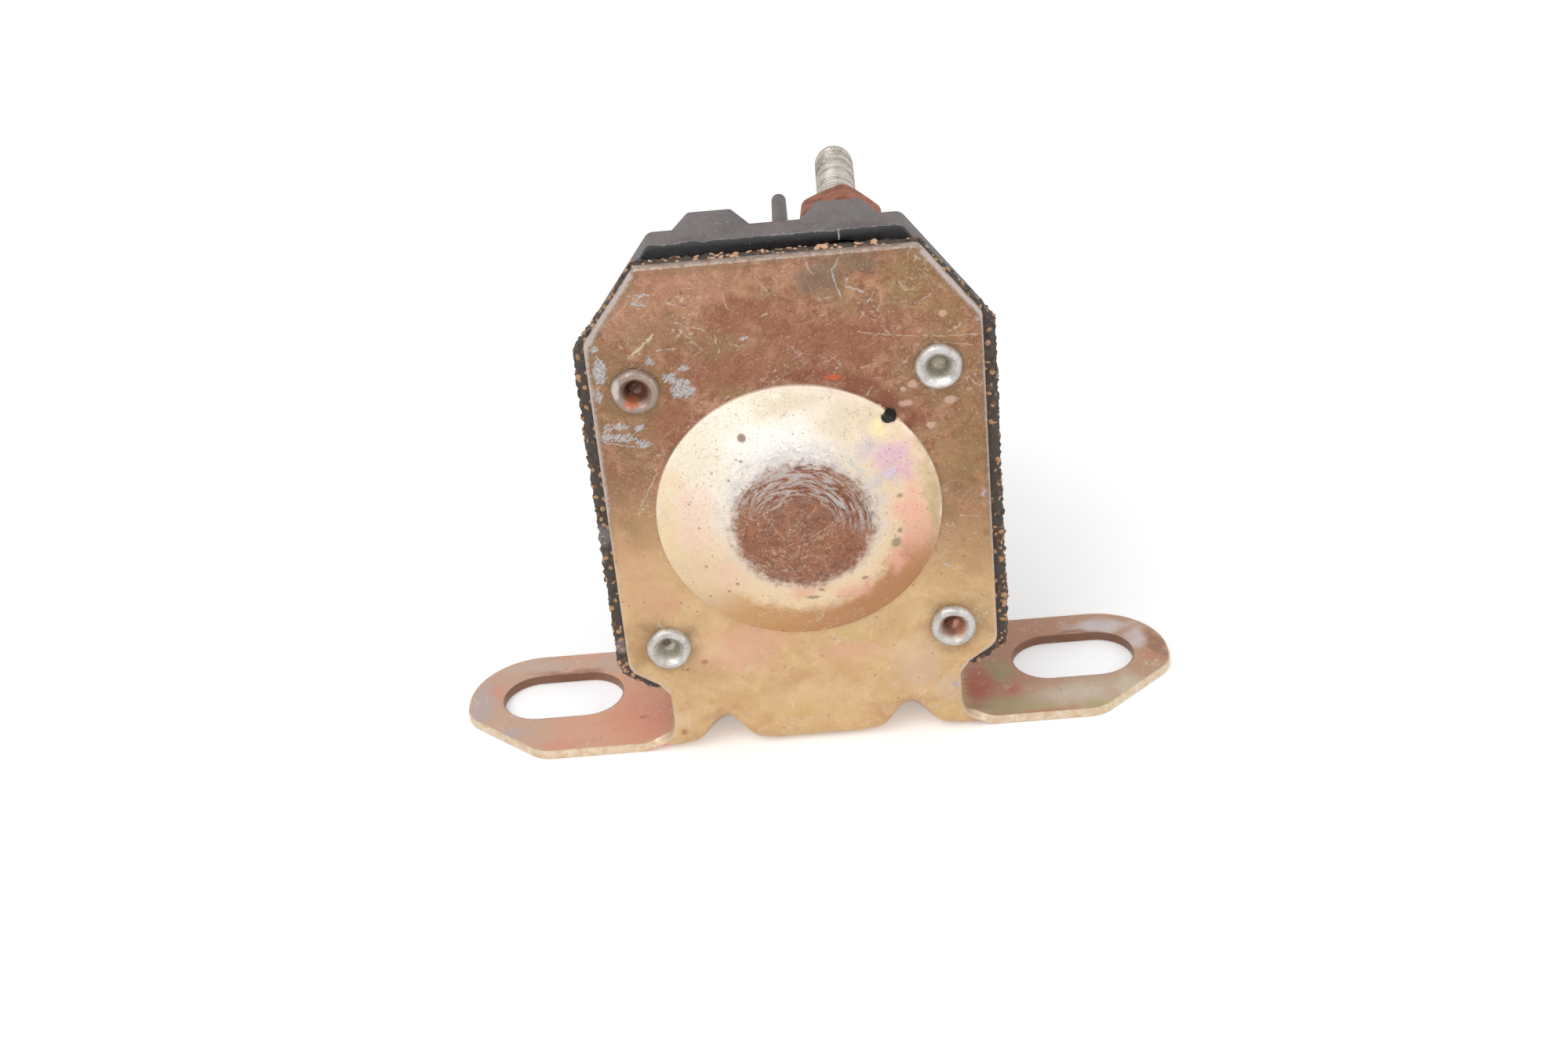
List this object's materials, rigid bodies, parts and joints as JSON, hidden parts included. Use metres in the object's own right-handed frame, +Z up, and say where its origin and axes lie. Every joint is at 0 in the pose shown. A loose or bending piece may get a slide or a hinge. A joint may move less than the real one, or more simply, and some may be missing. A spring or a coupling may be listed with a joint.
{
  "type": "starter solenoid",
  "caption": "Starter solenoid: moulded housing behind a domed steel cover plate bent into a slotted flange, with stud terminals and a sliding plunger and contact disc.",
  "frame": {"origin": "centre of the pattern of two mounting slots, on the underside of the flange", "axes": "+Z up, away from the surface it is bolted to; +Y from the cover plate to the terminals, along the plunger's travel; +X along the flange to the right, seen from the plate"},
  "size_m": [0.0916, 0.064, 0.068],
  "materials": {
    "plated_sheet": "aged yellow chromate plating, scratched",
    "cork_gasket": "dark composition with cork granules",
    "moulded_housing": "dark phenolic moulding, dusty",
    "rivet_steel": "worn bright steel",
    "copper": "tarnished copper",
    "plated_hardware": "dull plating",
    "brass_nut": "tarnished brass",
    "rusty_nut": "rusted",
    "bare_steel": "turned, unplated",
    "brass_tube": "drawn, smooth",
    "bobbin_plastic": "moulded",
    "enamelled_wire": "lacquered copper wire",
    "wrap_paper": "varnished paper",
    "bumper_rubber": "matt",
    "spring_steel": "drawn wire",
    "insulator": "pressed fibre"
  },
  "bodies": {
    "solenoid_body": {"cover_plate": "plated_sheet", "cover_gasket": "cork_gasket", "housing": "moulded_housing", "cover_rivets": "rivet_steel", "battery_stud": "copper", "starter_stud": "copper", "main_stud_washers": "plated_hardware", "main_stud_nuts": "brass_nut", "coil_stud": "plated_hardware", "coil_stud_washer": "plated_hardware", "coil_stud_nut": "rusty_nut", "coil_frame": "bare_steel", "pole_plate": "bare_steel", "front_pole_washer": "bare_steel", "fixed_core": "bare_steel", "guide_tube": "brass_tube", "bobbin": "bobbin_plastic", "coil_winding": "enamelled_wire", "coil_wrap": "wrap_paper", "coil_lead": "enamelled_wire", "earth_lead": "enamelled_wire", "plunger_bumper": "bumper_rubber", "return_spring": "spring_steel"},
    "plunger_and_rod": {"plunger": "bare_steel", "plunger_rod": "brass_tube", "spring_collar": "bare_steel", "contact_spring": "spring_steel", "rod_clip": "spring_steel"},
    "contact_carrier": {"disc_bushing": "insulator", "contact_disc": "copper", "disc_washer": "insulator"}
  },
  "joints": [
    {"name": "plunger_slide", "type": "slide", "parent": "solenoid_body", "child": "plunger_and_rod", "axis": [0, 1, 0], "range_m": [0, 0.0032], "stiffness_N_per_m": 800, "springref_m": -0.004, "deforming": ["return_spring"]},
    {"name": "contact_slide", "type": "slide", "parent": "solenoid_body", "child": "contact_carrier", "axis": [0, 1, 0], "range_m": [0, 0.0024], "deforming": ["contact_spring"]}
  ],
  "couplings": [
    {"joint": "contact_slide", "follows": "plunger_slide", "ratio": 0.75}
  ]
}
